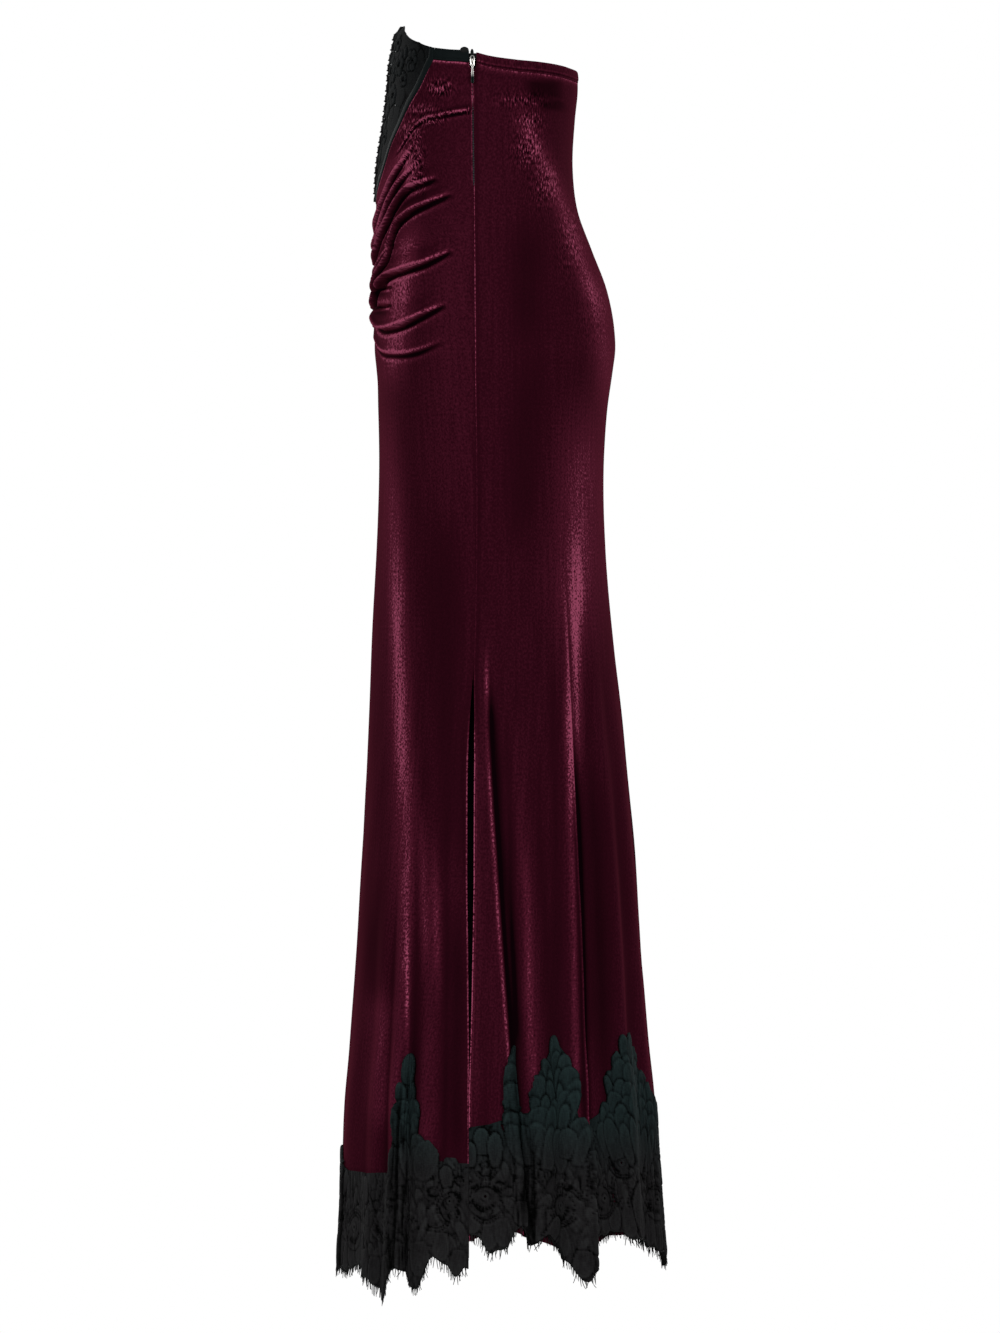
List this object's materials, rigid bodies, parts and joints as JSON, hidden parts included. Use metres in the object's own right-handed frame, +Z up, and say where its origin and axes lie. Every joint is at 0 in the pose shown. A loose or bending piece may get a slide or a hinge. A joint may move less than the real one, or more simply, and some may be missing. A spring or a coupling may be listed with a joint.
{
  "type": "mermaid fishtail skirt",
  "caption": "Floor-length wine velvet fishtail skirt, worn form, with a black lace V yoke, ruched front, side zip and lace hem.",
  "frame": {"origin": "centre of the waist opening at the height of the waist seam, where the wearer's waist holds the skirt", "axes": "+Z up along the skirt's length, -Y the wearer's front, +X the wearer's left"},
  "size_m": [0.4958, 0.2899, 1.1246],
  "materials": {
    "wine_velvet": "wine red stretch velvet with a short nap and soft pink sheen",
    "black_satin": "black satin under a flat black lace",
    "black_lace": "black corded eyelash lace",
    "zip_tape": "black woven zip tape",
    "zip_metal": "polished nickel zip slider and pull"
  },
  "bodies": {
    "skirt": {"front_left": "wine_velvet", "front_right": "wine_velvet", "back_left": "wine_velvet", "back_right": "wine_velvet", "waistband_back_left": "wine_velvet", "waistband_back_right": "wine_velvet", "waistband_front_left": "black_satin", "waistband_front_right": "black_satin", "yoke": "black_satin", "yoke_binding_left": "black_satin", "yoke_binding_right": "black_satin", "yoke_braid": "black_lace", "lace_front": "black_lace", "lace_back": "black_lace", "fringe_front": "black_lace", "fringe_back": "black_lace", "zip_tape": "zip_tape", "zip_slider": "zip_metal"},
    "pull_tab": {"zip_pull": "zip_metal"}
  },
  "joints": [
    {"name": "pull_tab_swing", "type": "hinge", "parent": "skirt", "child": "pull_tab", "pos_m": [0.12179, -0.01099, -0.0001], "axis": [0, -1, 0], "range_deg": [0, 165]}
  ]
}
